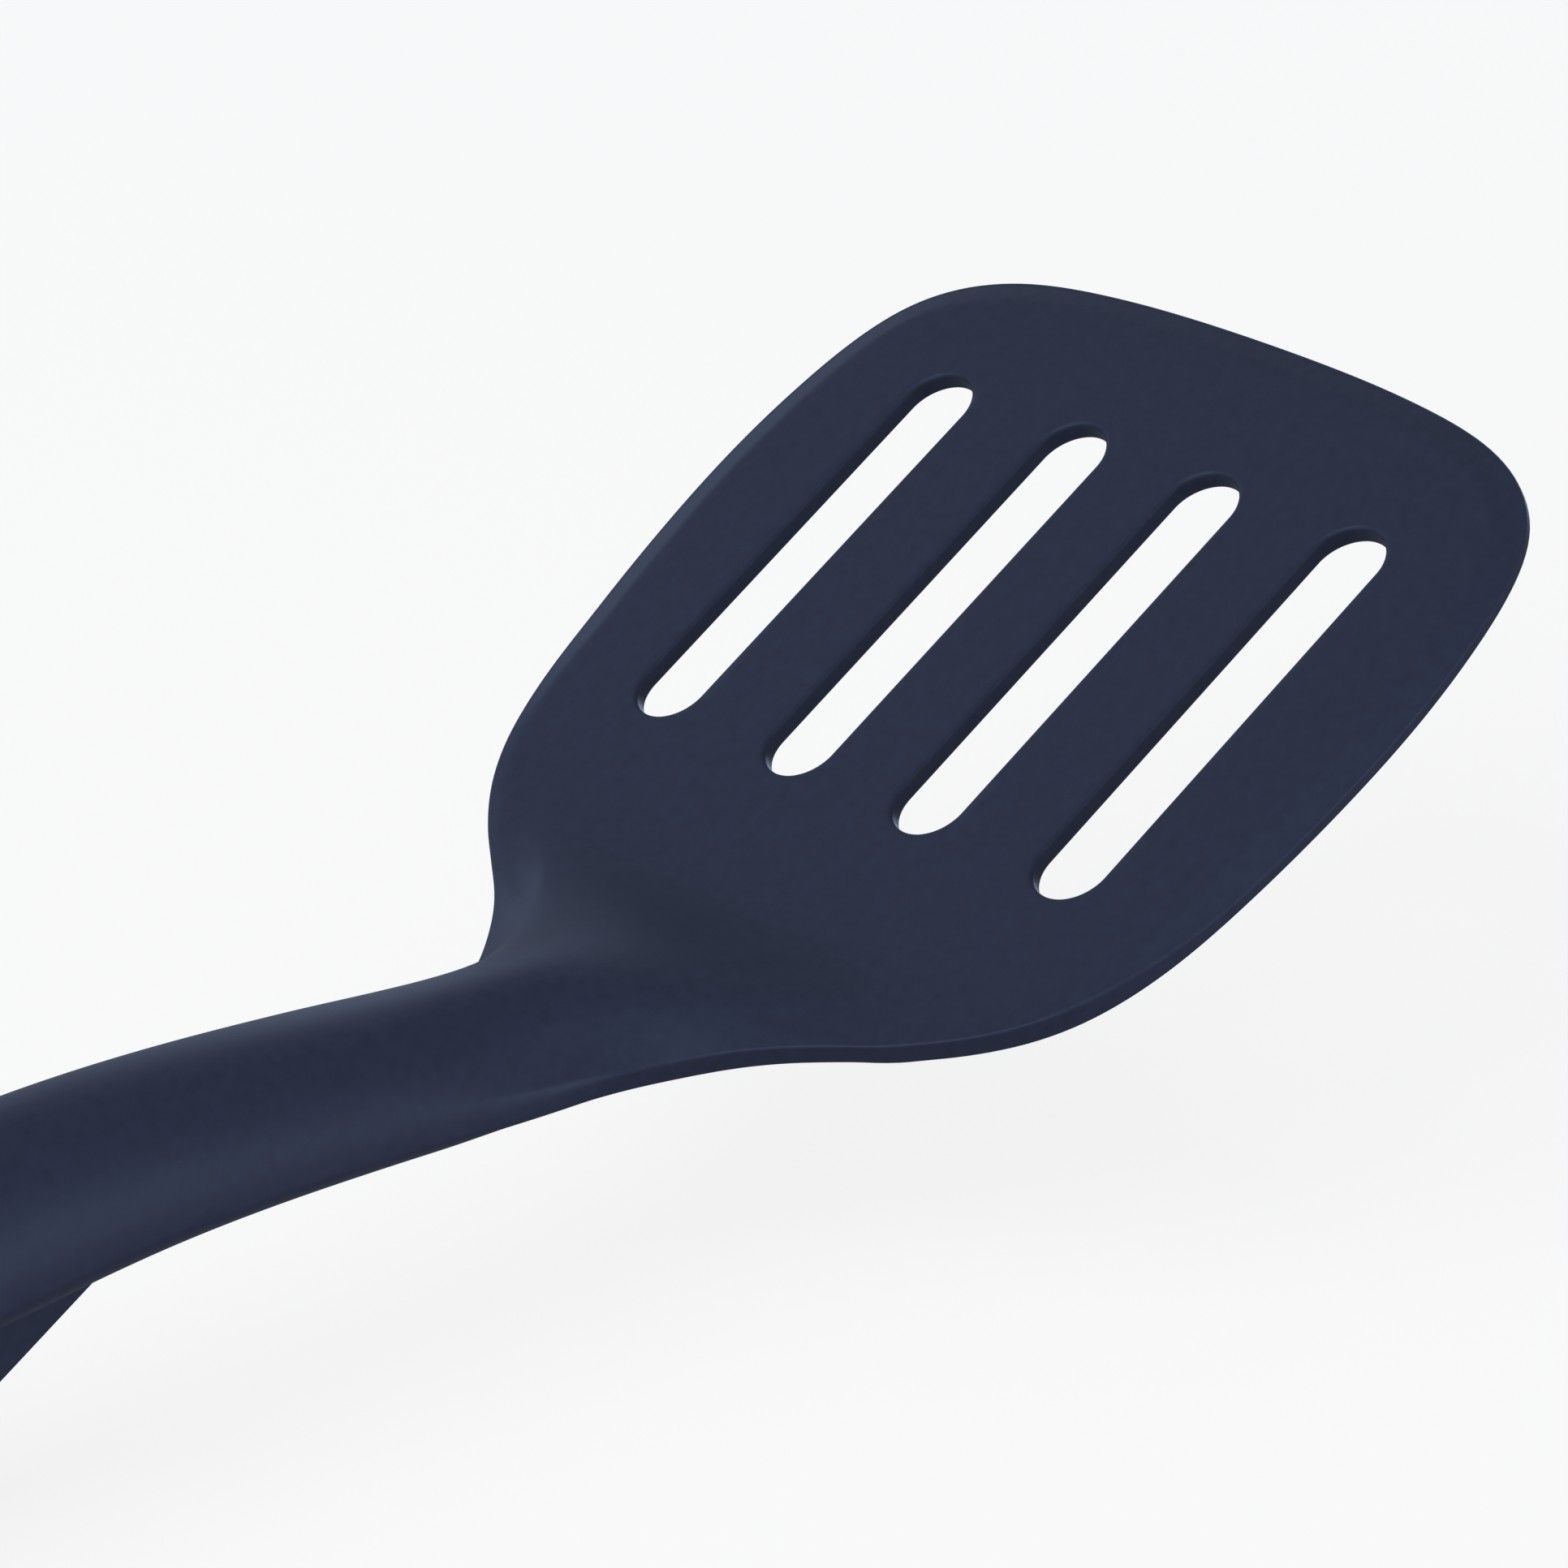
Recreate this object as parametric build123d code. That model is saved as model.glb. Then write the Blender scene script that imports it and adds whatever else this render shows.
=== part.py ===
from build123d import *
import os
from math import cos, radians, sin, tan

os.makedirs("parts", exist_ok=True)

# All sizes are in millimetres. The pieces are drawn in the head's own frame: +X runs towards
# the front edge, +Z out of the head's flat top, and the origin is on that top amid the slots.
# The last step tips the whole turner onto its tool rest and tail, as it lies on a worktop.

# Head, seen from above
head_front = 35.0
head_half_width = 42.6
head_thickness = 2.3
front_edge_radius = 230.0
side_edge_radius = 125.0
front_corner_radius = 15.0
shoulder_back = 31.0
shoulder_radius = 27.0
neck_root_radius = 14.0
root_past_heel = 0.7
head_edge_round = 1.0

# Slots through the head
slot_width = 7.2
slot_length = 42.0
slot_offsets = (8.2, 25.5)
slot_lip_round = 0.4

# Neck and handle: a straight rise from the heel, a long arc that flattens out, then the grip
heel_back = 49.5
heel_run = 13.0
root_share = 0.9
heel_slope = 34.0
neck_foot = (-50.0, 4.9)
neck_rise_angle = 36.0
neck_rise_length = 12.4
neck_arc_radius = 300.0
grip_angle = 26.0
grip_length = 174.0

# Half widths and half heights of the oval section
neck_section = (8.0, 5.6)
arc_end_section = (9.3, 7.0)
grip_section = (13.2, 8.6)
tail_section = (11.8, 7.6)
neck_root_flare = 10.0
tail_round = 4.0
grip_fullest = 0.6
grip_steps = 12

# Steel plate in the head
plate_thickness = 0.6
plate_depth = 0.85
plate_margin = 4.5
window_margin = 1.6
plate_back = 47.0
anchor_radius = 2.0

# Core, skin and what joins them
neck_skin = 2.2
pad_front = 35.0
pad_half_width = 6.0
pad_length = 13.0
pad_rise = 0.2
pad_slope = 0.8
rivet_radius = 1.5
rivet_head_radius = 2.6
rivet_head_thickness = 0.4
rivet_length = 3.0
rivet_row_front = 7.5
rivet_row_back = 3.0
rivet_spacing = 4.0

# Handle pieces
seam_after_arc = 44.0
seam_gap = 0.3
cap_length = 24.0
weight_size = (70.0, 12.0, 5.0)
weight_clearance = 0.15
spigot_length = 15.0
cap_pin_radius = 1.5
cap_pin_half_length = 8.8
eyelet_inner_radius = 4.0
eyelet_wall = 0.8
eyelet_length = 14.0
eyelet_from_end = 12.0

# Tool rest: its flat pad and its slopes, in the frame of the worktop
rest_tilt = 31.0
rest_pad_back = 119.5
rest_pad_length = 11.0
rest_knee_run = 10.6
rest_knee_height = 12.9
rest_front_run = 25.0
rest_rear_run = 15.0
rest_toe_height = 1.0
rest_width = 10.5
rest_pad_round = 3.5
rest_side_round = 2.0
peg_radius = 2.5

# Worked out from the sizes above
cap_start = grip_length - cap_length
weight_length, weight_width, weight_height = weight_size
channel_length = spigot_length + weight_length + weight_clearance
channel_start = cap_start - channel_length
channel_width = weight_width + 2 * weight_clearance
channel_height = weight_height + 2 * weight_clearance
eyelet_outer_radius = eyelet_inner_radius + eyelet_wall
eyelet_place = grip_length - eyelet_from_end


def at_arc(angle):
    """Point of the neck's arc where its slope has fallen to the given angle, in degrees."""
    start_x = neck_foot[0] - neck_rise_length * cos(radians(neck_rise_angle))
    start_z = neck_foot[1] + neck_rise_length * sin(radians(neck_rise_angle))
    x = start_x - neck_arc_radius * (sin(radians(neck_rise_angle)) - sin(radians(angle)))
    z = start_z + neck_arc_radius * (cos(radians(angle)) - cos(radians(neck_rise_angle)))
    return x, z


def along_grip(distance):
    """Point of the straight grip's centreline, measured from the end of the arc."""
    x, z = at_arc(grip_angle)
    return x - distance * cos(radians(grip_angle)), z + distance * sin(radians(grip_angle))


def cross_plane(point, angle):
    """Plane across the handle at a point: local X across the width, local Y up, Z backwards."""
    back = (-cos(radians(angle)), 0, sin(radians(angle)))
    return Plane(origin=(point[0], 0, point[1]), x_dir=(0, 1, 0), z_dir=back)


def between(low, high, share):
    return tuple(a + (b - a) * share for a, b in zip(low, high))


def arm_stations():
    """Centre, slope, half width and half height of each oval section, head to tail."""
    flare = neck_root_flare
    width, height = neck_section
    foot_x, foot_z = neck_foot
    stations = [
        ((foot_x + 2.2 * flare, -head_thickness / 2 - 0.2), 0, width + 1.4 * flare, 1.1),
        ((foot_x + 1.6 * flare, -head_thickness / 2 + 0.1), 2, width + flare, 2.2),
        ((foot_x + flare, foot_z - 4.0), 8, width + 0.58 * flare, height - 1.4),
        ((foot_x + 0.4 * flare, foot_z - 1.5), 22, width + 0.23 * flare, height - 0.1),
        ((foot_x - 0.2 * flare, foot_z + 1.5), neck_rise_angle, width + 0.05 * flare, height),
        (at_arc(neck_rise_angle), neck_rise_angle, width, height),
    ]
    for share in (0.25, 0.5, 0.75, 1.0):
        angle = neck_rise_angle + (grip_angle - neck_rise_angle) * share
        stations.append((at_arc(angle), angle, *between(neck_section, arc_end_section, share)))
    for step in range(1, grip_steps + 1):
        share = step / grip_steps
        if share < grip_fullest:
            swell = sin(radians(90 * share / grip_fullest)) ** 2
            oval = between(arc_end_section, grip_section, swell)
        else:
            shrink = 1 - cos(radians(90 * (share - grip_fullest) / (1 - grip_fullest)))
            oval = between(grip_section, tail_section, shrink)
        stations.append((along_grip(grip_length * share), grip_angle, *oval))
    return stations


def arm(inset, first_station):
    """Solid oval arm through the stations, drawn in by the inset all round."""
    sections = [
        cross_plane(point, angle) * Ellipse(width - inset, height - inset)
        for point, angle, width, height in arm_stations()[first_station:]
    ]
    return loft(sections)


def beyond(distance):
    """Plane across the grip at a distance behind the end of the arc."""
    return cross_plane(along_grip(distance), grip_angle)


def blade_outline():
    """Head seen from above, without the neck. Its straight shoulders run to where the neck starts."""
    front = Pos(head_front - front_edge_radius, 0) * Circle(front_edge_radius)
    side_y = head_half_width - side_edge_radius
    sides = Pos(0, side_y) * Circle(side_edge_radius) & Pos(0, -side_y) * Circle(side_edge_radius)
    shoulder_y = head_half_width - shoulder_back**2 / (2 * side_edge_radius)
    root_back = heel_back + root_past_heel
    run = (root_back - shoulder_back) / (shoulder_y - neck_section[0])
    apex = -shoulder_back - shoulder_y * run
    reach = 2 * head_half_width
    corner = apex + reach * run
    wedge = Polygon((apex, 0), (corner, -reach), (reach, -reach), (reach, reach), (corner, reach), align=None)
    return front & sides & wedge


def head_outline():
    """Head seen from above, with the root of the neck and every corner rounded."""
    neck_width = 2 * neck_section[0]
    strip_back = heel_back + root_share * heel_run
    root = Pos(-strip_back / 2, 0) * Rectangle(strip_back, neck_width)
    outline = blade_outline() + root
    corners = outline.vertices().filter_by(lambda v: v.X > head_front / 2)
    outline = fillet(corners, front_corner_radius)
    shoulders = outline.vertices().filter_by(
        lambda v: abs(v.X + shoulder_back) < 1.5 and abs(v.Y) > head_half_width * 0.8
    )
    outline = fillet(shoulders, shoulder_radius)
    roots = outline.vertices().filter_by(
        lambda v: abs(abs(v.Y) - neck_section[0]) < 0.01 and v.X > -strip_back + 0.01
    )
    return fillet(roots, neck_root_radius)


def slots(margin):
    """The four slots seen from above, each widened by the margin."""
    slot = SlotOverall(slot_length + 2 * margin, slot_width + 2 * margin)
    return [Pos(0, side * offset) * slot for side in (-1, 1) for offset in slot_offsets]


def head_slab():
    """Flat slotted slab with rounded edges, trimmed to the slope of the heel."""
    slab = extrude(Plane.XY.offset(-head_thickness) * head_outline(), head_thickness)
    rims = slab.edges().filter_by(Plane.XY)
    rims = rims.filter_by(lambda e: e.center().X > -heel_back - 1)
    slab = fillet(rims, head_edge_round)
    for slot in slots(0):
        slab -= extrude(Plane.XY.offset(-head_thickness) * slot, head_thickness)
    lips = slab.edges().filter_by(Plane.XY).filter_by(
        lambda e: abs(e.center().X) <= slot_length / 2 and abs(e.center().Y) < slot_offsets[1] + slot_width
    )
    slab = fillet(lips, slot_lip_round)
    return slab


def below_heel():
    """Space under the head and under the slope where the heel turns up into the neck."""
    reach = 2 * head_half_width
    rise = heel_run * tan(radians(heel_slope))
    bottom = -head_thickness
    space = Polygon(
        (-heel_back, bottom), (-heel_back - heel_run, bottom + rise), (-heel_back - heel_run, bottom - reach),
        (reach, bottom - reach), (reach, bottom), align=None,
    )
    return extrude(Plane.XZ * space, reach, both=True)


def tipped(shape):
    """Turn a shape from the head's frame to the worktop's, before it is set down."""
    return Rot(0, -rest_tilt, 0) * shape


def untipped(shape):
    return Rot(0, rest_tilt, 0) * shape


def blade_plate():
    """Spring steel plate with a window round each slot and holes that the silicone keys through."""
    outline = offset(blade_outline(), -plate_margin)
    outline &= Pos(head_front - plate_back, 0) * Rectangle(2 * head_front, 4 * head_half_width)
    for window in slots(window_margin):
        outline -= window
    front_row = (slot_length / 2 + window_margin + head_front - plate_margin) / 2
    rear_row = -(slot_length / 2 + window_margin) - anchor_radius - window_margin
    pitch = slot_offsets[1] - slot_offsets[0]
    for row, columns in ((front_row, (-1.5, -0.5, 0.5, 1.5)), (rear_row, (-1, 0, 1))):
        for column in columns:
            outline -= Pos(row, column * pitch) * Circle(anchor_radius)
    level = -plate_depth - plate_thickness
    return extrude(Plane.XY.offset(level) * outline, plate_thickness)


def core_pad():
    """Foot of the core: a wedge on the plate that reaches back into the neck."""
    back = pad_front + pad_length
    top = pad_rise + pad_length * pad_slope * tan(radians(neck_rise_angle))
    side = Polygon(
        (-pad_front, -plate_depth), (-pad_front, pad_rise), (-back, top), (-back, -plate_depth), align=None
    )
    return extrude(Plane.XZ * side, pad_half_width, both=True)


def rivet_places():
    front_row = -plate_back + rivet_row_front
    return [(front_row, -rivet_spacing), (front_row, rivet_spacing), (-plate_back + rivet_row_back, 0)]


def plate_rivets():
    """Three headed pins pressed up through the plate into the core's foot."""
    head_z = -plate_depth - plate_thickness - rivet_head_thickness
    rivets = []
    for x, y in rivet_places():
        head = extrude(Plane.XY.offset(head_z) * Pos(x, y) * Circle(rivet_head_radius), rivet_head_thickness)
        shank_plane = Plane.XY.offset(-plate_depth - plate_thickness)
        shank = extrude(shank_plane * Pos(x, y) * Circle(rivet_radius), plate_thickness + rivet_length)
        rivets.append(head + shank)
    return rivets


def grip_bar(start, length, width, height):
    """Rectangular bar on the grip's centreline, from a distance behind the end of the arc."""
    return extrude(beyond(start) * Rectangle(width, height), length)


def cap_pin():
    """Cross pin that holds the tail cap's spigot in the core."""
    middle = along_grip(cap_start - spigot_length / 2)
    plane = Plane(origin=(middle[0], 0, middle[1]), z_dir=(0, 1, 0))
    return extrude(plane * Circle(cap_pin_radius), cap_pin_half_length, both=True)


def eyelet_axis():
    """Plane on the hang hole's centre, with Z along the hole, square to the grip."""
    x, z = along_grip(eyelet_place)
    up = (sin(radians(grip_angle)), 0, cos(radians(grip_angle)))
    return Plane(origin=(x, 0, z), x_dir=(0, 1, 0), z_dir=up)


def hang_eyelet():
    """Short tube that lines the hang hole."""
    tube = Circle(eyelet_outer_radius) - Circle(eyelet_inner_radius)
    return extrude(eyelet_axis() * tube, eyelet_length / 2, both=True)


def centreline_above(worktop_x):
    """Height of the grip's centreline, extended forwards, above a place on the tipped worktop."""
    x, z = at_arc(grip_angle)
    tip = radians(rest_tilt)
    end_x = x * cos(tip) - z * sin(tip)
    end_z = x * sin(tip) + z * cos(tip)
    return end_z - (end_x - worktop_x) * tan(radians(rest_tilt - grip_angle))


def rest_profile(ground):
    """Side view of the tool rest on the worktop, up to the neck's centreline."""
    front = -rest_pad_back + rest_pad_length / 2
    rear = -rest_pad_back - rest_pad_length / 2
    knee = (front + rest_knee_run, ground + rest_knee_height)
    toe_x = front + rest_front_run
    toe = (toe_x, knee[1] + (toe_x - knee[0]) * tan(radians(rest_tilt)))
    top = centreline_above(-rest_pad_back)
    toe_top = (toe_x, max(top, toe[1]) + rest_toe_height)
    heel_top = (rear - rest_rear_run, top)
    outline = Polygon((rear, ground), (front, ground), knee, toe, toe_top, heel_top, align=None)
    pad_corners = outline.vertices().filter_by(lambda v: abs(v.Y - ground) < 0.01)
    return fillet(pad_corners, rest_pad_round)


def rest_peg(ground):
    """Upright peg of the tool rest, from its pad up to the neck's centreline."""
    top = centreline_above(-rest_pad_back)
    length = top - ground - rest_pad_round
    peg = Cylinder(peg_radius, length, align=(Align.CENTER, Align.CENTER, Align.MIN))
    return Pos(-rest_pad_back, 0, top - length) * peg


def rest_body(ground):
    side = Plane.XZ * rest_profile(ground)
    body = extrude(side, rest_width / 2, both=True)
    in_neck = centreline_above(-rest_pad_back) - neck_section[1]
    low_edges = body.edges().filter_by(lambda e: e.center().Z < in_neck)
    low_edges = low_edges.filter_by(lambda e: abs(abs(e.center().Y) - rest_width / 2) < 0.01)
    return fillet(low_edges, rest_side_round)


def in_front(shape, distance):
    """What of a shape lies ahead of a plane across the grip."""
    return split(shape, bisect_by=beyond(distance), keep=Keep.BOTTOM)


def behind(shape, distance):
    return split(shape, bisect_by=beyond(distance), keep=Keep.TOP)


def rounded_arm():
    """Outer arm with its tail end rounded."""
    shape = arm(0, 0)
    end = shape.faces().sort_by(Axis.X)[0]
    return fillet(end.edges(), tail_round)


def arm_core(filled, shapes):
    """Nylon core from the head's pad to the tang, with a channel for the weight."""
    core = filled - grip_bar(channel_start, channel_length, channel_width, channel_height)
    for piece in (*shapes["plate_rivets"], shapes["cap_pin"], shapes["rest_peg"]):
        core -= piece
    return core


def head_skin(outer, filled, shapes):
    """Silicone over the plate and the neck, as far as the grip."""
    skin = in_front(head_slab() + outer - below_heel(), seam_after_arc)
    for piece in (filled, shapes["blade_plate"], shapes["rest_peg"], *shapes["plate_rivets"]):
        skin -= piece
    return skin


def tail_cap(outer, pin):
    """End cap with a spigot for the core's channel and a bore for the eyelet."""
    cap = behind(outer, cap_start)
    cap += grip_bar(cap_start - spigot_length, spigot_length, weight_width, weight_height)
    cap -= extrude(eyelet_axis() * Circle(eyelet_outer_radius), 2 * tail_section[1], both=True)
    return cap - pin


def build(ground):
    """All the pieces by node name, in the head's frame."""
    outer = rounded_arm()
    filled = in_front(arm(neck_skin, 3), cap_start - seam_gap) + core_pad()
    peg = untipped(rest_peg(ground))
    rivets = plate_rivets()
    shapes = {"plate_rivets": rivets, "cap_pin": cap_pin(), "rest_peg": peg, "blade_plate": blade_plate()}
    weight_start = channel_start + weight_clearance / 2
    nodes = {
        "head_skin": head_skin(outer, filled, shapes),
        "arm_core": arm_core(filled, shapes),
        "blade_plate": shapes["blade_plate"] - rivets[0] - rivets[1] - rivets[2],
        "plate_rivets": Part() + rivets,
        "rest_foot": untipped(rest_body(ground)) - outer + peg,
        "grip_sleeve": in_front(behind(outer, seam_after_arc + seam_gap), cap_start - seam_gap) - filled,
        "balance_weight": grip_bar(weight_start, weight_length, weight_width, weight_height),
        "tail_cap": tail_cap(outer, shapes["cap_pin"]),
        "cap_pin": shapes["cap_pin"],
        "hang_eyelet": hang_eyelet(),
    }
    return nodes


ground = tipped(rounded_arm()).bounding_box().min.Z
nodes = {name: Pos(0, 0, -ground) * tipped(shape) for name, shape in build(ground).items()}
boxes = [shape.bounding_box() for shape in nodes.values()]
middle = (min(box.min.X for box in boxes) + max(box.max.X for box in boxes)) / 2
for name, shape in nodes.items():
    export_step(Pos(-middle, 0, 0) * shape, f"parts/{name}.step")
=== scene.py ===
import math

import bpy
import numpy as np
from mathutils import Matrix, Vector


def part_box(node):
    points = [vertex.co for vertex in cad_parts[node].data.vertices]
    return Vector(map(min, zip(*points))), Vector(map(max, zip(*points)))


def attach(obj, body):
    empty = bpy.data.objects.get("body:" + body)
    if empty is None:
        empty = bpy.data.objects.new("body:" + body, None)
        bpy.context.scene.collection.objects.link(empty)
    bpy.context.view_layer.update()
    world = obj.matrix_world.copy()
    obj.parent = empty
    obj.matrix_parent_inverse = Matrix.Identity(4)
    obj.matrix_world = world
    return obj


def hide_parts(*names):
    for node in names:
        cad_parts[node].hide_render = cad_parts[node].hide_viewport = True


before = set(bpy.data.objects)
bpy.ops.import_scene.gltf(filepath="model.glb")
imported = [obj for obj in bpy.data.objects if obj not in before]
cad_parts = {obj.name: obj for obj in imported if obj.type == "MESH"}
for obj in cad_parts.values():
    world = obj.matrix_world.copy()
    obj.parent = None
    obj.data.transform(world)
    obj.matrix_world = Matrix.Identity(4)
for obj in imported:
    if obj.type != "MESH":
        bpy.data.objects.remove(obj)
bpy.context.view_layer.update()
bpy.ops.object.select_all(action="DESELECT")

MM = 0.001

# ---------------------------------------------------------------------------------------------
# Studio table: a white sheet on the worktop, a big softbox over the handle, a low one to the right
# of the head, two bluish ones behind that pick out the neck and the far edges, and the camera.

# The head's own frame: X to the front edge, Z out of the flat top, the origin amid the slots.
head_tilt = math.radians(31)
head_front = 35.0
cad_thickness = 2.3
cad_edge_round = 1.0
skin_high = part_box("head_skin")[1]
reach = (head_front - cad_edge_round) * math.cos(head_tilt)
reach += (cad_thickness - cad_edge_round) * math.sin(head_tilt) + cad_edge_round
climb = (head_front - cad_edge_round) * math.sin(head_tilt)
climb += cad_edge_round - cad_edge_round * math.cos(head_tilt)
head_place = Vector((skin_high.x - reach * MM, 0, skin_high.z - climb * MM))
head_to_part = Matrix.Translation(head_place) @ Matrix.Rotation(-head_tilt, 4, "Y") @ Matrix.Scale(MM, 4)

floor_size = 12
sheet_tone = 0.16
sheet_glow = 0.835
bpy.ops.mesh.primitive_plane_add(size=floor_size)
floor = bpy.context.object
floor.name = "floor"
sheet = bpy.data.materials.new("white_sheet")
sheet.use_nodes = True
bsdf = sheet.node_tree.nodes["Principled BSDF"]
bsdf.inputs["Base Color"].default_value = (sheet_tone, sheet_tone, sheet_tone, 1)
bsdf.inputs["Roughness"].default_value = 0.9
bsdf.inputs["Specular IOR Level"].default_value = 0.0
bsdf.inputs["Emission Color"].default_value = (1, 1, 1, 1)
bsdf.inputs["Emission Strength"].default_value = sheet_glow
floor.data.materials.append(sheet)
floor.visible_diffuse = False
floor.visible_glossy = False
floor.visible_shadow = False

world = bpy.data.worlds.new("room")
bpy.context.scene.world = world
world.use_nodes = True
world.node_tree.nodes["Background"].inputs["Color"].default_value = (0.9, 0.95, 1, 1)
world.node_tree.nodes["Background"].inputs["Strength"].default_value = 0.3


def softbox(name, offset, width, height, power, colour=(1, 1, 1)):
    """A rectangular light that stands at an offset from the head and faces it."""
    light = bpy.data.lights.new(name, "AREA")
    light.shape = "RECTANGLE"
    light.size = width
    light.size_y = height
    light.energy = power
    light.color = colour
    holder = bpy.data.objects.new(name, light)
    bpy.context.scene.collection.objects.link(holder)
    holder.location = head_place + Vector(offset)
    holder.rotation_euler = (head_place - holder.location).to_track_quat("-Z", "Y").to_euler()


softbox("overhead", (-1.1, 0.0, 0.75), width=1.2, height=1.2, power=12.5)
softbox("low_back", (1.05, 0.8, 0.0), width=0.8, height=0.8, power=9, colour=(0.55, 0.68, 1.0))
softbox("back_edge", (0.2, 1.25, 0.35), width=0.5, height=0.2, power=1.2, colour=(0.5, 0.65, 1.0))
softbox("right_fill", (0.29, -1.26, 0.17), width=0.8, height=0.5, power=7.5, colour=(1.0, 0.93, 1.0))

# The camera looks at a point low on the head, from its near left, 23 degrees above the horizon.
camera_aim = head_place + Vector((-0.0120, 0.0141, -0.0153))
camera_distance = 0.530
camera_azimuth = math.radians(-38.62)
camera_elevation = math.radians(23.41)
camera_roll = math.radians(-1.77)
back = Vector((
    math.sin(camera_azimuth) * math.cos(camera_elevation),
    -math.cos(camera_azimuth) * math.cos(camera_elevation),
    math.sin(camera_elevation),
))
bpy.ops.object.camera_add(location=camera_aim + camera_distance * back)
camera = bpy.context.object
camera.rotation_mode = "QUATERNION"
turn = (-back).to_track_quat("-Z", "Y")
camera.rotation_quaternion = turn @ Matrix.Rotation(camera_roll, 3, "Z").to_quaternion()
camera.data.sensor_width = 36
camera.data.lens = 144.0
camera.data.clip_start = 0.01
camera.data.clip_end = 50
bpy.context.scene.camera = camera
bpy.context.scene.view_settings.view_transform = "Standard"

# ---------------------------------------------------------------------------------------------
# Head skin: navy silicone moulded in one shot over the steel plate and the nylon core. It covers
# the flat slotted head, the heel and the bent neck, and ends at the seam behind the tool rest.


def smooth_line(points, steps=3000):
    """The smooth curve that a few control points pull into shape, as many small steps."""
    curve = bpy.data.curves.new("line", "CURVE")
    curve.dimensions = "3D"
    spline = curve.splines.new("NURBS")
    spline.points.add(len(points) - 1)
    for point, (x, y) in zip(spline.points, points):
        point.co = (x, y, 0, 1)
    spline.order_u = 4
    spline.use_endpoint_u = True
    spline.resolution_u = steps // len(points)
    holder = bpy.data.objects.new("line", curve)
    drawn = bpy.data.meshes.new_from_object(holder)
    line = np.array([v.co[:2] for v in drawn.vertices], float)
    bpy.data.objects.remove(holder)
    bpy.data.curves.remove(curve)
    bpy.data.meshes.remove(drawn)
    return line


# Seen from above: half the outline, from the middle of the front edge to the tail
half_outline = smooth_line([
    (35, 0), (35, 9), (34.4, 20), (32.5, 31.2), (26.7, 39.5), (14.5, 42.1), (2.4, 42.8), (-14.9, 41.2),
    (-24.0, 38.9), (-32.2, 34.8), (-39.0, 26.5), (-43.4, 18.4), (-51.0, 11.4), (-56.3, 9.1),
    (-67.1, 8.4), (-81.3, 9.1), (-105, 9.3), (-130, 9.8), (-165, 12.7), (-200, 13.3), (-235, 13.1),
    (-261.2, 11.8),
])
# Seen from the side: the line along the top and the line along the underside
top_line = smooth_line([
    (40, 0), (0, 0), (-22, 0), (-28, 0), (-33, 0.5), (-38, 3.3), (-46, 9.9), (-58, 17.8), (-72, 28.9),
    (-88, 39.6), (-104, 48.0), (-128, 58.6), (-165, 77.0), (-200, 95.4), (-235, 112), (-261.2, 123.9),
])
under_line = smooth_line([
    (40, -1.9), (20, -1.95), (0, -2.1), (-25, -2.35), (-38, -2.4), (-45, -2.4), (-49, -2.4), (-50.5, 1.2),
    (-54, 3.2), (-59, 5.6), (-66, 9.8), (-74, 15.2), (-88, 24.4), (-104, 31.6), (-118, 38.2), (-132, 44.4),
    (-144, 49.5), (-165, 59.0), (-200, 75.8), (-235, 94), (-261.2, 106.9),
])
# And the widest line, which lies in the middle of the head's edge and low on the neck
rim_line = smooth_line([
    (40, -0.95), (10, -1.0), (-15, -1.3), (-27, -1.1), (-34, -0.1), (-40, 1.3), (-46, 3.7), (-52, 5.3),
    (-59, 8.8), (-66, 13.2), (-74, 19.0), (-88, 28.4), (-104, 35.8), (-118, 42.8), (-132, 51.0),
    (-144, 57.9), (-165, 68),
])
arm_slope = math.radians(26)
seam_x = -144.4


def ease(value, start, end):
    """0 before start, 1 after end, and smooth between them."""
    share = np.clip((value - start) / (end - start), 0, 1)
    return share * share * (3 - 2 * share)


def along(line, x):
    """The line's height or half width at x. The lines run from the front to the tail."""
    return np.interp(x, line[::-1, 0], line[::-1, 1])


def unit_grid(columns, rows):
    """A grid primitive that reaches from -1 to 1 each way, as the current object."""
    bpy.ops.object.select_all(action="DESELECT")
    bpy.ops.mesh.primitive_grid_add(x_subdivisions=columns, y_subdivisions=rows, size=2)
    return bpy.context.object


def corners(piece):
    found = np.zeros(len(piece.data.vertices) * 3)
    piece.data.vertices.foreach_get("co", found)
    return found.reshape(-1, 3)


def shape(piece, places):
    """Puts the vertices at places in the head's frame, then turns the piece into the part's frame."""
    piece.data.vertices.foreach_set("co", places.ravel())
    piece.data.transform(head_to_part)
    piece.data.update()


def tidy_mesh(piece, merge=0.00001):
    """Merges doubles and turns every face outwards."""
    bpy.ops.object.select_all(action="DESELECT")
    bpy.context.view_layer.objects.active = piece
    piece.select_set(True)
    bpy.ops.object.mode_set(mode="EDIT")
    bpy.ops.mesh.select_all(action="SELECT")
    bpy.ops.mesh.remove_doubles(threshold=merge)
    bpy.ops.mesh.normals_make_consistent(inside=False)
    bpy.ops.object.mode_set(mode="OBJECT")


skin_columns = 200
skin_rows = 60
rim_rows = 36
rim_width = 4.5
edge_round = 0.3
# The rim is bevelled and soft round the front, and crisp from the shoulders back to the neck
crisp_x = -30
soft_x = -12
band_soft = 2.9
band_crisp = 1.3
band_power = 1.1
# Shares of half the thickness that the bevelled band and the rounded edge take off it
top_taper = 0.72
top_taper_crisp = 0.1
under_taper = 0.2
round_share = 0.22
round_share_crisp = 0.27
# Shares of the rim's rows, from each face to the middle: the band, the rounded edge and the wall
band_rows = 5 / 9
round_rows = 3 / 9
wall_start = 8 / 9
wall_rows = 1 / 9

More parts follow.
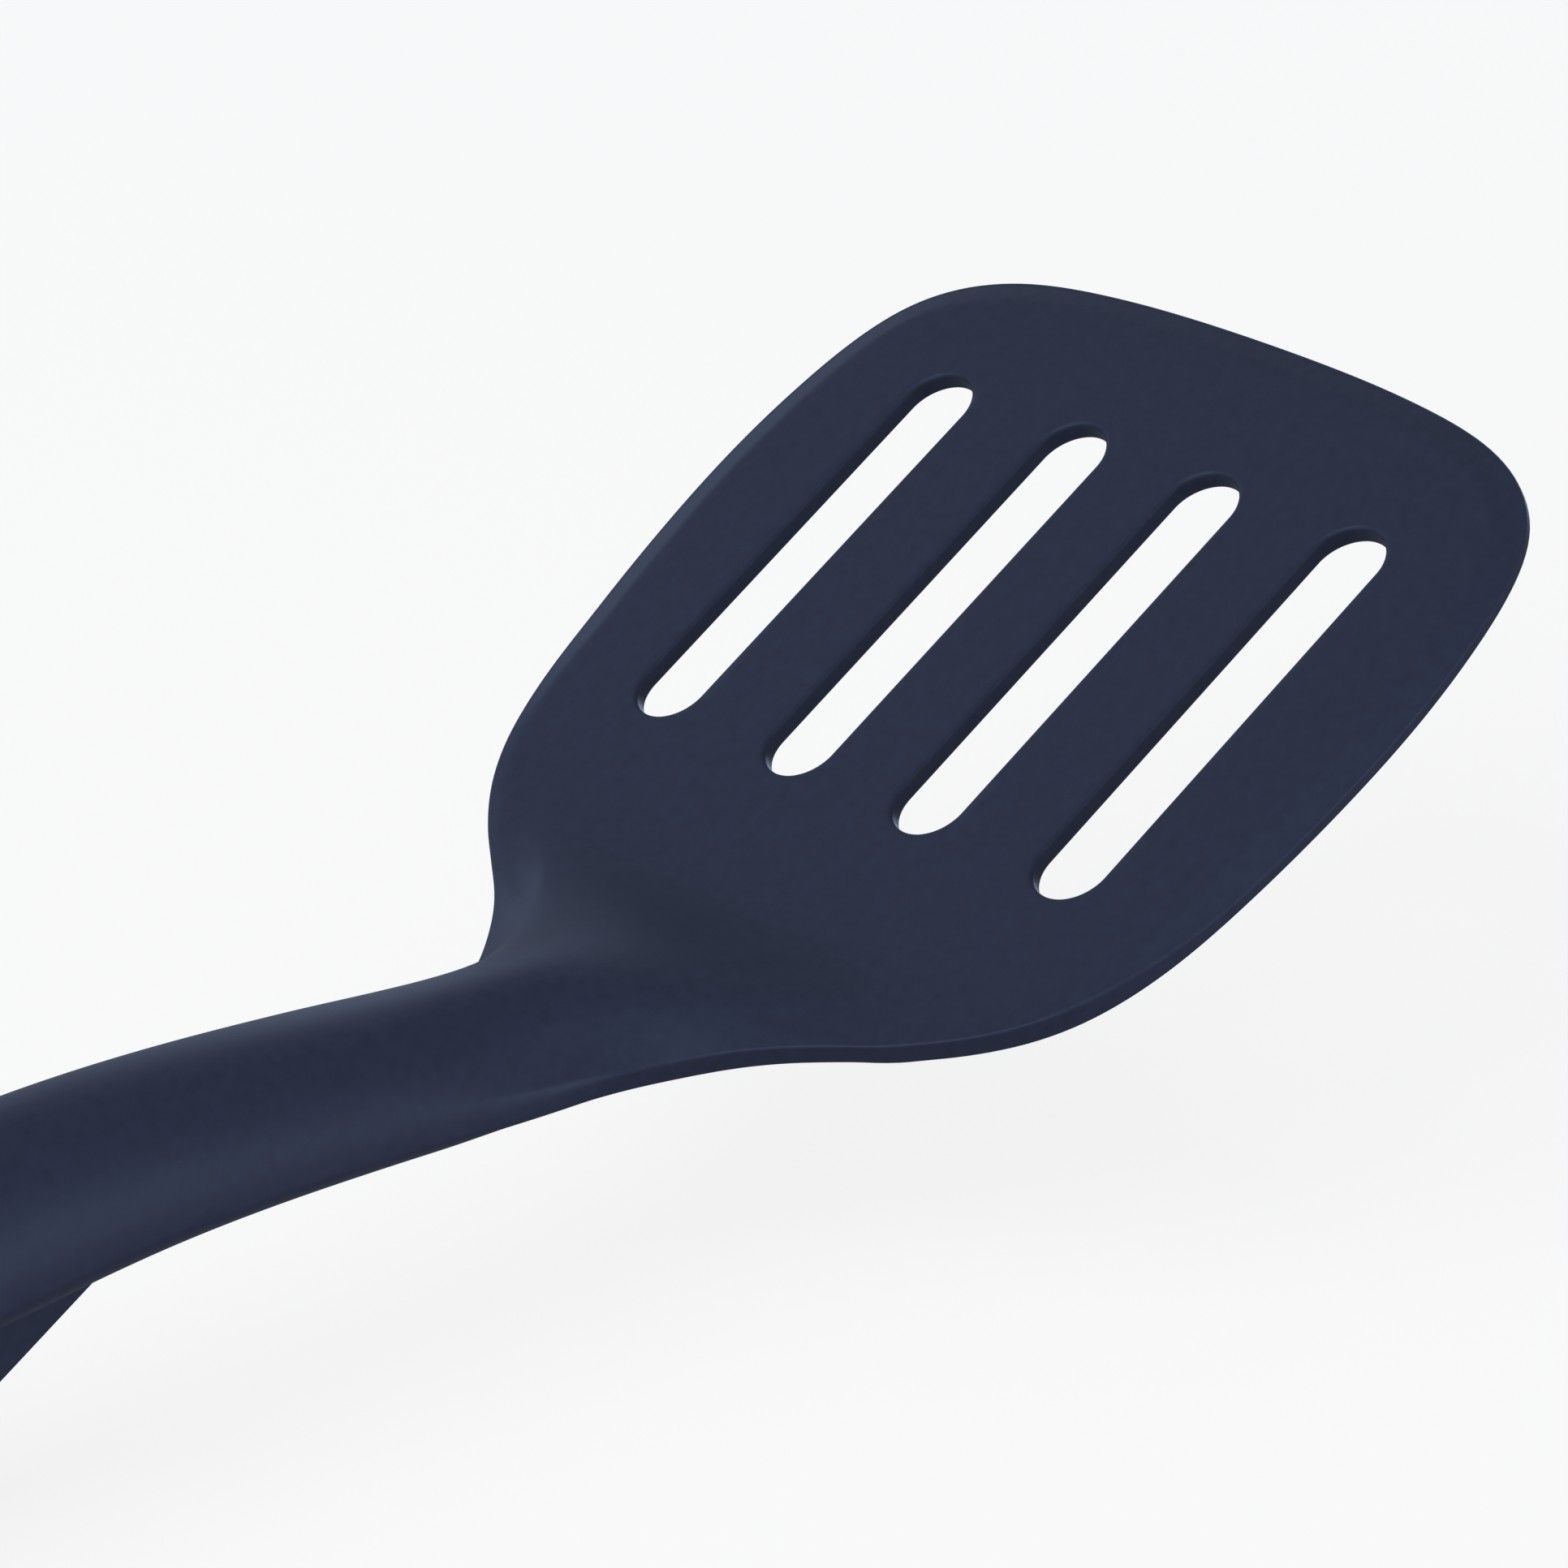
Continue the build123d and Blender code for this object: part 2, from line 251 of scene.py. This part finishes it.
# A fine grid, extruded down in thin layers to a slab whose rows are laid over the turner below
skin = unit_grid(skin_columns, skin_rows)
skin.name = "silicone_head"
bpy.ops.object.mode_set(mode="EDIT")
bpy.ops.mesh.select_all(action="SELECT")
for _ in range(rim_rows):
    bpy.ops.mesh.extrude_region_move(TRANSFORM_OT_translate={"value": (0, 0, -1)})
bpy.ops.object.mode_set(mode="OBJECT")

grid = corners(skin)
along_share = (grid[:, 0] + 1) / 2
across = grid[:, 1]
layer = np.rint(-grid[:, 2]) / rim_rows
side = np.where(across < 0, -1.0, 1.0)
on_top = layer < 0.001
below = layer > 0.999
between_layers = ~on_top & ~below
on_front = between_layers & (along_share > 0.999) & (abs(across) < 0.999)
on_side = between_layers & (abs(across) > 0.999)

# The outline in equal steps of its length: the columns end on its sides, the rows on its front
corner_y = 33.0
front_part = half_outline[:, 0] > 20
run = np.append(0, np.cumsum(np.hypot(*np.diff(half_outline, axis=0).T)))
corner_run = np.interp(corner_y, half_outline[front_part, 1], run[front_part])
seam_run = np.interp(-seam_x, -half_outline[:, 0], run)
step = np.gradient(half_outline, axis=0)
outward = np.column_stack([step[:, 1], -step[:, 0]])
outward /= np.hypot(*outward.T)[:, None]
outline_run = seam_run + (corner_run - seam_run) * along_share
front_run = corner_run * abs(across)


def on_outline(at):
    place = np.column_stack([np.interp(at, run, half_outline[:, i]) for i in (0, 1)])
    facing = np.column_stack([np.interp(at, run, outward[:, i]) for i in (0, 1)])
    return place, facing / np.hypot(*facing.T)[:, None]


side_place, side_facing = on_outline(outline_run)
front_place, front_facing = on_outline(front_run)
side_inner = side_place - rim_width * side_facing
front_inner = front_place - rim_width * front_facing
corner_place, corner_facing = on_outline(np.array([corner_run]))
corner_inner = (corner_place - rim_width * corner_facing)[0]
# Ahead of this place the columns bow forward to follow the front edge
bow_x = 8
bow = np.clip((side_inner[:, 0] - bow_x) / (corner_inner[0] - bow_x), 0, 1) * (side_place[:, 0] > 0)
flat_x = side_inner[:, 0] + bow * (front_inner[:, 0] - corner_inner[0])
flat_y = side_inner[:, 1] * across + bow * side * (front_inner[:, 1] - corner_inner[1] * abs(across))

# How the round of the rim falls away, from the flat (0) to the outermost line and down the wall
rim_place = np.where(on_front[:, None], front_place, side_place)
rim_facing = np.where(on_front[:, None], front_facing, side_facing)
crisp = 1 - ease(rim_place[:, 0], crisp_x, soft_x)
from_top = 1 - abs(2 * layer - 1)
upper = layer < 0.5
taper = np.where(upper, top_taper + (top_taper_crisp - top_taper) * crisp, under_taper * (1 - crisp))
round_fall = round_share + (round_share_crisp - round_share) * crisp
band = band_soft + (band_crisp - band_soft) * crisp
taper_share = np.clip(from_top / band_rows, 0, 1)
round_angle = np.radians(90 * np.clip((from_top - band_rows) / round_rows, 0, 1))
wall_share = np.clip((from_top - wall_start) / wall_rows, 0, 1)
inward = rim_width + (edge_round - rim_width) * taper_share - edge_round * np.sin(round_angle)
rim_x = rim_place[:, 0] - inward * rim_facing[:, 0]
rim_y = side * (rim_place[:, 1] - inward * rim_facing[:, 1])

on_rim = on_side | on_front
x = np.where(on_rim, rim_x, flat_x)
y = np.where(on_rim, rim_y, flat_y)

# Heights of the slab, with the bell-shaped ridge that grows into the neck
neck_full_x = -68
neck_start_x = -48
front_thinning = 0.4
thinning_x = -25
bell_power = 1.4
neck_share = 1 - ease(side_place[:, 0], neck_full_x, neck_start_x)
centre_top = along(top_line, x)
centre_under = along(under_line, x)
middle = along(rim_line, x)
thickness = cad_thickness - front_thinning * ease(x, thinning_x, head_front)
bell = np.clip(1 - (y / np.maximum(along(half_outline, x), 1)) ** 2, 0, None) ** bell_power
band_share = np.clip((band - inward) / (band - edge_round), 0, 1)
rim_fall = taper * band_share ** band_power + round_fall * (1 - np.cos(round_angle))
rim_height = thickness / 2 * (1 - rim_fall) * (1 - wall_share)
signed = np.where(upper, 1.0, -1.0)
slab_z = middle + signed * np.where(on_rim, rim_height, thickness / 2)
ridge = (centre_top - middle - thickness / 2) * bell
# Underneath, only a keel stays down, round the plate's tail and its rivets, and it narrows to the neck
keel_neck = 9.5
keel_spread = 18.5
keel_neck_x = -46
keel_head_x = -38
keel_width = keel_neck + keel_spread * ease(x, keel_neck_x, keel_head_x)
keel_section = np.clip(1 - (y / keel_width) ** 4, 0, None) ** 1.5
keel = (centre_under - middle + thickness / 2) * keel_section
slab_z += ridge + (keel - ridge) * layer

# The oval section of the neck and arm
oval_x = side_place[:, 0]
oval_width = side_place[:, 1]
oval_top = along(top_line, oval_x)
oval_under = along(under_line, oval_x)
rim_angle = 90 * rim_rows / (skin_rows + rim_rows)
sweep = np.radians((90 - rim_angle) * across)
rim_sweep = np.radians(rim_angle * (1 - 2 * layer))
oval_y = np.where(on_side, side * oval_width * np.cos(rim_sweep), oval_width * np.sin(sweep))
lift = np.where(on_side, np.sin(rim_sweep), np.cos(sweep) * (1 - 2 * layer))
oval_middle = along(rim_line, oval_x)
oval_z = oval_middle + lift * np.where(lift > 0, oval_top - oval_middle, oval_middle - oval_under)

places = np.column_stack([
    x + neck_share * (oval_x - x),
    y + neck_share * (oval_y - y),
    slab_z + neck_share * (oval_z - slab_z),
])
# Towards the seam the sections turn until they stand square to the arm
square_x = -125
upright_x = -70
lean = (1 - ease(oval_x, square_x, upright_x)) * math.sin(arm_slope) * (oval_z - (oval_top + oval_under) / 2)
places[:, 0] += lean * math.cos(arm_slope)
places[:, 2] -= lean * math.sin(arm_slope)
shape(skin, places)
tidy_mesh(skin)

# The four slots, each cut by a spool whose flared ends leave the lips rounded
slot_width = 7.2
slot_length = 41.55
slot_middle = 0.22
slot_offsets = (-25.5, -8.2, 8.2, 25.5)
lip_round = 0.45
under_lip_round = 0.6
under_level = -2.0
lip_steps = 5
lip_turn = 80
spool_sides = 64
spool_over = 0.35
spool_flare = 3.0


def spool_profile():
    """Height and radius of each ring of a slot's cutter, from under the head to above it."""
    angles = [math.radians(lip_turn * i / lip_steps) for i in range(lip_steps + 1)]
    radius = slot_width / 2
    flare = [(lip_round * math.sin(a), radius + lip_round * (1 - math.cos(a))) for a in angles]
    grow = under_lip_round / lip_round
    upper_lip = [(h - lip_round, r) for h, r in flare] + [(spool_over, radius + spool_flare)]
    lower_lip = [
        (under_level + (lip_round - h) * grow, radius + (r - radius) * grow) for h, r in reversed(flare)
    ]
    return [(under_level - spool_over, radius + spool_flare)] + lower_lip + upper_lip


profile = spool_profile()
cutters = []
for offset in slot_offsets:
    bpy.ops.object.select_all(action="DESELECT")
    first_height, first_radius = profile[0]
    bpy.ops.mesh.primitive_circle_add(
        vertices=spool_sides, radius=first_radius, fill_type="NGON",
        location=(0, 0, first_height), rotation=(0, 0, math.pi / spool_sides),
    )
    cutter = bpy.context.object
    bpy.ops.object.transform_apply(location=True, rotation=True, scale=True)
    bpy.ops.object.mode_set(mode="EDIT")
    bpy.ops.mesh.select_all(action="SELECT")
    for (old_height, old_radius), (height, radius) in zip(profile, profile[1:]):
        rise = height - old_height
        scale = radius / old_radius
        bpy.ops.mesh.extrude_region_move(TRANSFORM_OT_translate={"value": (0, 0, rise)})
        bpy.ops.transform.resize(value=(scale, scale, 1), center_override=(0, 0, height))
    bpy.ops.object.mode_set(mode="OBJECT")
    spool = corners(cutter)
    spool[:, 0] += slot_middle + np.sign(spool[:, 0]) * (slot_length - slot_width) / 2
    spool[:, 1] += offset
    shape(cutter, spool)
    tidy_mesh(cutter)
    cutters.append(cutter)
for cutter in cutters:
    cut = skin.modifiers.new("slot", "BOOLEAN")
    cut.operation = "DIFFERENCE"
    cut.solver = "EXACT"
    cut.object = cutter
    bpy.ops.object.select_all(action="DESELECT")
    bpy.context.view_layer.objects.active = skin
    skin.select_set(True)
    bpy.ops.object.modifier_apply(modifier=cut.name)
    bpy.data.objects.remove(cutter)
bpy.ops.object.shade_smooth_by_angle(angle=math.radians(40))
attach(skin, "root")
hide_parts("head_skin")


def silicone(name, colour, grain=0.04):
    """Matte silicone: fine grain left by the blasted mould, faint mottling, and a soft bloom."""
    material = bpy.data.materials.new(name)
    material.use_nodes = True
    tree = material.node_tree
    nodes, links = tree.nodes, tree.links
    surface = nodes["Principled BSDF"]
    surface.inputs["Roughness"].default_value = 0.55
    surface.inputs["Specular IOR Level"].default_value = 0.35
    surface.inputs["Specular Tint"].default_value = (0.55, 0.75, 1.0, 1)
    where = nodes.new("ShaderNodeTexCoord")
    mottle = nodes.new("ShaderNodeTexNoise")
    mottle.inputs["Scale"].default_value = 900
    mottle.inputs["Detail"].default_value = 3
    links.new(where.outputs["Object"], mottle.inputs["Vector"])
    tone = nodes.new("ShaderNodeValToRGB")
    tone.color_ramp.elements[0].position = 0.3
    tone.color_ramp.elements[0].color = (*[c * 0.9 for c in colour], 1)
    tone.color_ramp.elements[1].position = 0.7
    tone.color_ramp.elements[1].color = (*[c * 1.1 for c in colour], 1)
    links.new(mottle.outputs["Fac"], tone.inputs["Fac"])
    links.new(tone.outputs["Color"], surface.inputs["Base Color"])
    fine = nodes.new("ShaderNodeTexNoise")
    fine.inputs["Scale"].default_value = 4500
    fine.inputs["Detail"].default_value = 2
    links.new(where.outputs["Object"], fine.inputs["Vector"])
    bump = nodes.new("ShaderNodeBump")
    bump.inputs["Strength"].default_value = grain
    bump.inputs["Distance"].default_value = 0.0002
    links.new(fine.outputs["Fac"], bump.inputs["Height"])
    links.new(bump.outputs["Normal"], surface.inputs["Normal"])
    return material


navy = silicone("navy_silicone", (0.020, 0.0238, 0.0505))


def dress(name, material):
    """Gives a carried-over CAD node its material and leaves its shape alone."""
    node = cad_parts[name]
    node.data.materials.clear()
    node.data.materials.append(material)


skin.data.materials.clear()
skin.data.materials.append(navy)

# ---------------------------------------------------------------------------------------------
# Tool rest: the solid silicone foot under the neck that holds the dirty head off the worktop. It is
# moulded in the same shot as the head skin, and a crease runs where it meets the neck.

dress("rest_foot", navy)

# ---------------------------------------------------------------------------------------------
# Grip sleeve: a tube of the same silicone, moulded over the nylon core of the handle. It butts
# against the head skin at the seam behind the tool rest.

dress("grip_sleeve", navy)

# ---------------------------------------------------------------------------------------------
# Tail cap: a moulded nylon end plug in the same navy, a little shinier than the silicone. Its spigot
# sits in the core's channel, where the cross pin holds it, and the hang hole passes through it.


def nylon(name, colour, roughness):
    """Moulded nylon: an even colour, a faint flow mottle and a fine spark-eroded texture."""
    material = silicone(name, colour, grain=0.08)
    surface = material.node_tree.nodes["Principled BSDF"]
    surface.inputs["Roughness"].default_value = roughness
    surface.inputs["Specular IOR Level"].default_value = 0.5
    surface.inputs["Specular Tint"].default_value = (1, 1, 1, 1)
    return material


dress("tail_cap", nylon("navy_nylon", (0.018, 0.021, 0.044), 0.42))

# ---------------------------------------------------------------------------------------------
# Arm core: the stiff glass-filled nylon bar inside the neck and handle, moulded in black. The
# silicone is moulded over it, so it doesn't show in the finished turner.

dress("arm_core", nylon("black_nylon", (0.02, 0.02, 0.022), 0.55))

# ---------------------------------------------------------------------------------------------
# Blade plate: thin spring steel, blanked with windows round the slots, which makes the silicone head
# springy. It lies in the middle of the head, held by the silicone that keys through its holes.


def steel(name, colour, roughness, grain):
    """Metal with fine scratches along the part that streak its roughness."""
    material = bpy.data.materials.new(name)
    material.use_nodes = True
    nodes, links = material.node_tree.nodes, material.node_tree.links
    surface = nodes["Principled BSDF"]
    surface.inputs["Base Color"].default_value = (*colour, 1)
    surface.inputs["Metallic"].default_value = 1.0
    where = nodes.new("ShaderNodeTexCoord")
    stretch = nodes.new("ShaderNodeMapping")
    stretch.inputs["Scale"].default_value = grain
    streak = nodes.new("ShaderNodeTexNoise")
    streak.inputs["Scale"].default_value = 1.0
    streak.inputs["Detail"].default_value = 4
    spread = nodes.new("ShaderNodeMapRange")
    spread.inputs["To Min"].default_value = roughness - 0.08
    spread.inputs["To Max"].default_value = roughness + 0.08
    links.new(where.outputs["Object"], stretch.inputs["Vector"])
    links.new(stretch.outputs["Vector"], streak.inputs["Vector"])
    links.new(streak.outputs["Fac"], spread.inputs["Value"])
    links.new(spread.outputs["Result"], surface.inputs["Roughness"])
    return material


dress("blade_plate", steel("rolled_spring_steel", (0.56, 0.56, 0.58), 0.32, (60, 2500, 60)))

# ---------------------------------------------------------------------------------------------
# Plate rivets: three headed stainless pins, pressed through the plate's tail and the core's tongue.

dress("plate_rivets", steel("stainless_wire", (0.6, 0.59, 0.57), 0.28, (1200, 1200, 1200)))

# ---------------------------------------------------------------------------------------------
# Balance weight: a zinc-plated steel bar in the core's channel. It keeps the tail down, so that the
# head stays up when the turner lies on its rest.

dress("balance_weight", steel("zinc_plated_bar", (0.5, 0.52, 0.55), 0.45, (40, 900, 900)))

# ---------------------------------------------------------------------------------------------
# Cap pin: a ground steel cross pin that locks the cap's spigot in the core.

dress("cap_pin", steel("ground_pin", (0.55, 0.55, 0.56), 0.25, (2000, 60, 2000)))

# ---------------------------------------------------------------------------------------------
# Hang eyelet: a drawn stainless tube pressed into the cap's hole, with its bore polished by the hook.

dress("hang_eyelet", steel("drawn_stainless", (0.62, 0.61, 0.59), 0.22, (1500, 1500, 80)))
